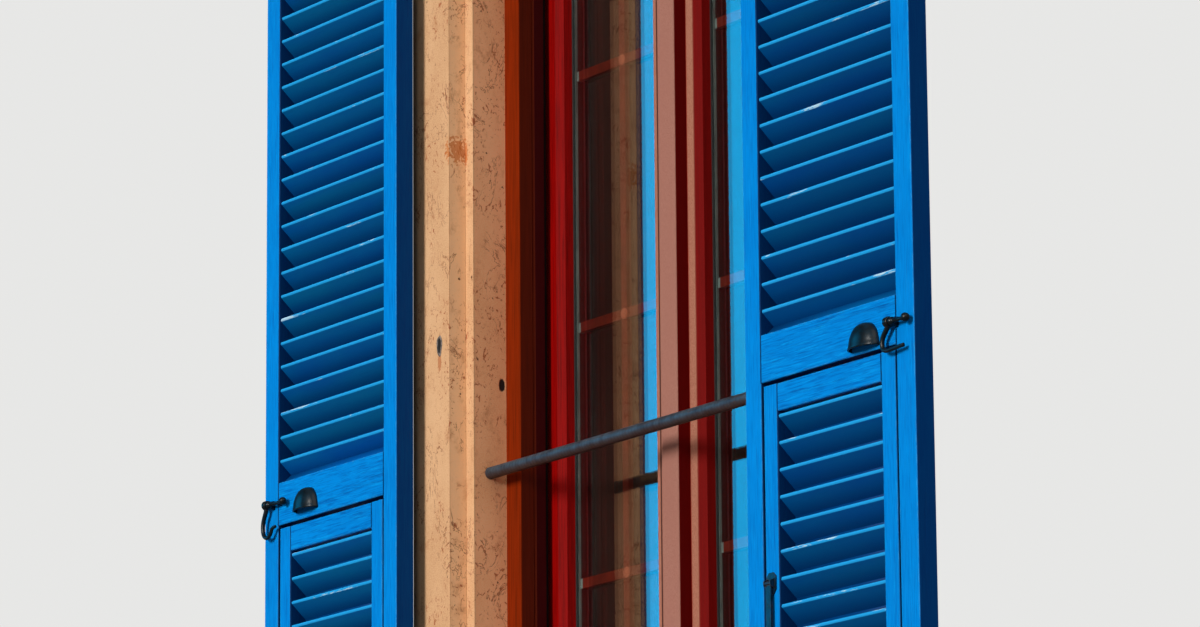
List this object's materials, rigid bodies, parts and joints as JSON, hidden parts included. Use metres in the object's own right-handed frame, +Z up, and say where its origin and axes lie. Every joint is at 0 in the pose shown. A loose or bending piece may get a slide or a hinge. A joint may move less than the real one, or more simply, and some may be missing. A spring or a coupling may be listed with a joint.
{
  "type": "window with shutters",
  "caption": "Tall two-sash casement window in a rebated stone surround, with a pair of slatted shutters whose lower flaps tilt outwards, a guard rail, latches and hooks.",
  "frame": {"origin": "underside of the sill, middle of the width, in the plane of the stone's outer face", "axes": "+X along the wall, +Y into the room, +Z up"},
  "size_m": [2.0144, 0.377, 2.304],
  "materials": {
    "stone": "rough",
    "frame_red": "satin",
    "sash_red": "satin",
    "strip_pink": "satin",
    "glass": "polished",
    "gasket_rubber": "matte",
    "bars": "satin",
    "rail_paint": "satin",
    "handle_metal": "satin",
    "blue_hardware": "satin",
    "dark_hardware": "worn",
    "stay_iron": "worn",
    "hinge_steel": "satin",
    "blue_paint": "satin"
  },
  "bodies": {
    "surround": {"left_jamb": "stone", "right_jamb": "stone", "lintel": "stone", "sill": "stone", "guard_rail": "rail_paint", "pintles": "hinge_steel", "frame_left_member": "frame_red", "frame_right_member": "frame_red", "frame_top_member": "frame_red", "frame_bottom_member": "frame_red", "frame_hinge_halves": "hinge_steel"},
    "left_window_sash": {"left_sash": "sash_red", "left_glass": "glass", "left_spacer_bars": "bars", "left_gaskets": "gasket_rubber", "left_sash_hinge_halves": "hinge_steel", "handle_rosette": "handle_metal"},
    "right_window_sash": {"right_sash": "sash_red", "right_glass": "glass", "right_spacer_bars": "bars", "right_gaskets": "gasket_rubber", "right_sash_hinge_halves": "hinge_steel", "meeting_strip": "strip_pink"},
    "handle": {"window_handle": "handle_metal"},
    "left_shutter": {"left_shutter_hinge_stile": "blue_paint", "left_shutter_free_stile": "blue_paint", "left_shutter_top_rail": "blue_paint", "left_shutter_mid_rail": "blue_paint", "left_shutter_bottom_rail": "blue_paint", "left_shutter_slats": "blue_paint", "left_shutter_straps": "blue_hardware", "left_flap_hinge_fixed": "blue_hardware", "left_cup_pull": "dark_hardware", "left_latch": "dark_hardware"},
    "left_flap": {"left_flap_stiles": "blue_paint", "left_flap_top_rail": "blue_paint", "left_flap_bottom_rail": "blue_paint", "left_flap_slats": "blue_paint", "left_flap_hinge_moving": "blue_hardware", "left_stay_bracket": "stay_iron"},
    "left_stay": {"left_flap_stay": "stay_iron"},
    "left_latch_hook": {"left_hook": "dark_hardware"},
    "right_shutter": {"right_shutter_hinge_stile": "blue_paint", "right_shutter_free_stile": "blue_paint", "right_shutter_top_rail": "blue_paint", "right_shutter_mid_rail": "blue_paint", "right_shutter_bottom_rail": "blue_paint", "right_shutter_slats": "blue_paint", "right_shutter_straps": "blue_hardware", "right_flap_hinge_fixed": "blue_hardware", "right_cup_pull": "dark_hardware", "right_latch": "dark_hardware"},
    "right_flap": {"right_flap_stiles": "blue_paint", "right_flap_top_rail": "blue_paint", "right_flap_bottom_rail": "blue_paint", "right_flap_slats": "blue_paint", "right_flap_hinge_moving": "blue_hardware", "right_stay_bracket": "stay_iron"},
    "right_stay": {"right_flap_stay": "stay_iron"},
    "right_latch_hook": {"right_hook": "dark_hardware"}
  },
  "joints": [
    {"name": "left_shutter_swing", "type": "hinge", "parent": "surround", "child": "left_shutter", "pos_m": [-0.505, -0.0156, 1.15], "axis": [0, 0, 1], "range_deg": [0, 180]},
    {"name": "right_shutter_swing", "type": "hinge", "parent": "surround", "child": "right_shutter", "pos_m": [0.505, -0.0156, 1.15], "axis": [0, 0, -1], "range_deg": [0, 180]},
    {"name": "left_flap_tilt", "type": "hinge", "parent": "left_shutter", "child": "left_flap", "pos_m": [-0.7743, -0.0262, 0.834], "axis": [1, 0, 0], "range_deg": [0, 40]},
    {"name": "left_stay_swing", "type": "hinge", "parent": "left_flap", "child": "left_stay", "pos_m": [-0.6104, -0.0715, 0.501], "axis": [1, 0, 0], "range_deg": [-90, 0]},
    {"name": "left_hook_swing", "type": "hinge", "parent": "left_shutter", "child": "left_latch_hook", "pos_m": [-0.982, -0.0777, 0.876], "axis": [-1, 0, 0], "range_deg": [0, 25]},
    {"name": "right_flap_tilt", "type": "hinge", "parent": "right_shutter", "child": "right_flap", "pos_m": [0.7743, -0.0262, 0.834], "axis": [1, 0, 0], "range_deg": [0, 40]},
    {"name": "right_stay_swing", "type": "hinge", "parent": "right_flap", "child": "right_stay", "pos_m": [0.6104, -0.0715, 0.501], "axis": [1, 0, 0], "range_deg": [-90, 0]},
    {"name": "right_hook_swing", "type": "hinge", "parent": "right_shutter", "child": "right_latch_hook", "pos_m": [0.954, -0.0777, 0.876], "axis": [-1, 0, 0], "range_deg": [0, 25]},
    {"name": "left_sash_swing", "type": "hinge", "parent": "surround", "child": "left_window_sash", "pos_m": [-0.4185, 0.248, 1.137], "axis": [0, 0, 1], "range_deg": [0, 120]},
    {"name": "right_sash_swing", "type": "hinge", "parent": "surround", "child": "right_window_sash", "pos_m": [0.4185, 0.248, 1.137], "axis": [0, 0, -1], "range_deg": [0, 60]},
    {"name": "handle_turn", "type": "hinge", "parent": "left_window_sash", "child": "handle", "pos_m": [-0.032, 0.27, 1.07], "axis": [0, 1, 0], "range_deg": [0, 90]}
  ],
  "couplings": [
    {"joint": "right_sash_swing", "follows": "left_sash_swing", "ratio": 0.5},
    {"joint": "left_stay_swing", "follows": "left_flap_tilt", "ratio": -2.14},
    {"joint": "right_stay_swing", "follows": "right_flap_tilt", "ratio": -2.14}
  ]
}
